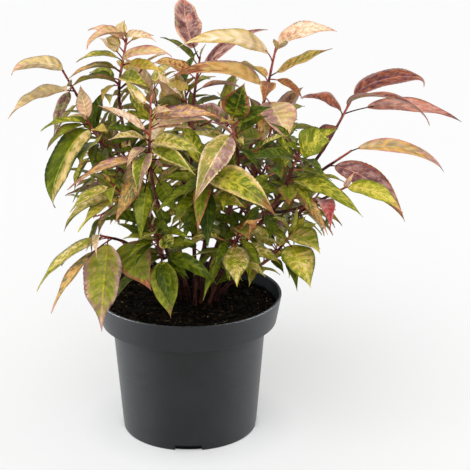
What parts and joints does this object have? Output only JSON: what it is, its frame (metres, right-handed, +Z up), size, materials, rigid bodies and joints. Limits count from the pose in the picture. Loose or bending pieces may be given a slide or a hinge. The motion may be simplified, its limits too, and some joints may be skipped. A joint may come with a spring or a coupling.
{
  "type": "potted leucothoe",
  "caption": "Bushy evergreen leucothoe shrub with long arching leaves in green, cream, pink and bronze, standing in a round dark nursery pot.",
  "frame": {"origin": "middle of the pot's flat underside, where it stands", "axes": "+Z up along the pot's axis, +X to the right and -Y towards the viewer of the plant's fullest side"},
  "size_m": [0.442, 0.3485, 0.442],
  "materials": {
    "pot_plastic": "satin dark grey moulded plastic with soft highlights",
    "potting_soil": "rough, nearly black peat and bark",
    "bark": "smooth maroon young bark",
    "foliage_green": "leathery leaf with a soft sheen",
    "foliage_lime": "leathery leaf with a soft sheen",
    "foliage_cream": "leathery leaf with a soft sheen",
    "foliage_ochre": "leathery leaf with a soft sheen",
    "foliage_peach": "leathery leaf with a soft sheen",
    "foliage_pink": "leathery leaf with a soft sheen",
    "foliage_bronze": "leathery leaf with a soft sheen",
    "foliage_red": "leathery leaf with a soft sheen",
    "foliage_purple": "leathery leaf with a soft sheen"
  },
  "bodies": {
    "root": {"bough_back_left_low": "bark", "bough_back_low": "bark", "bough_back_right_low": "bark", "bough_back_top": "bark", "bough_centre_low": "bark", "bough_far_left": "bark", "bough_left": "bark", "bough_left_low": "bark", "bough_pot_front": "bark", "bough_right": "bark", "bough_right_low": "bark", "bough_side_right": "bark", "leaves_back": "foliage_green", "leaves_back_left": "foliage_green", "leaves_back_left_low": "foliage_bronze", "leaves_back_low": "foliage_lime", "leaves_back_right": "foliage_purple", "leaves_back_right_low": "foliage_green", "leaves_back_top": "foliage_cream", "leaves_centre_low": "foliage_lime", "leaves_crest": "foliage_ochre", "leaves_crest_left": "foliage_purple", "leaves_far_left": "foliage_cream", "leaves_front": "foliage_cream", "leaves_front_left": "foliage_pink", "leaves_front_low": "foliage_green", "leaves_front_right": "foliage_green", "leaves_left": "foliage_green", "leaves_left_low": "foliage_lime", "leaves_middle_back": "foliage_peach", "leaves_middle_left": "foliage_bronze", "leaves_middle_right": "foliage_green", "leaves_pot_front": "foliage_green", "leaves_pot_left": "foliage_bronze", "leaves_pot_right": "foliage_lime", "leaves_right": "foliage_red", "leaves_right_low": "foliage_lime", "leaves_right_top": "foliage_red", "leaves_side_right": "foliage_bronze", "leaves_top_left": "foliage_ochre", "pot": "pot_plastic", "soil": "potting_soil", "stem_back": "bark", "stem_back_left": "bark", "stem_back_right": "bark", "stem_crest": "bark", "stem_crest_left": "bark", "stem_front": "bark", "stem_front_left": "bark", "stem_front_low": "bark", "stem_front_right": "bark", "stem_middle_back": "bark", "stem_middle_left": "bark", "stem_middle_right": "bark", "stem_pot_left": "bark", "stem_pot_right": "bark", "stem_right_top": "bark", "stem_top_left": "bark"}
  },
  "joints": []
}
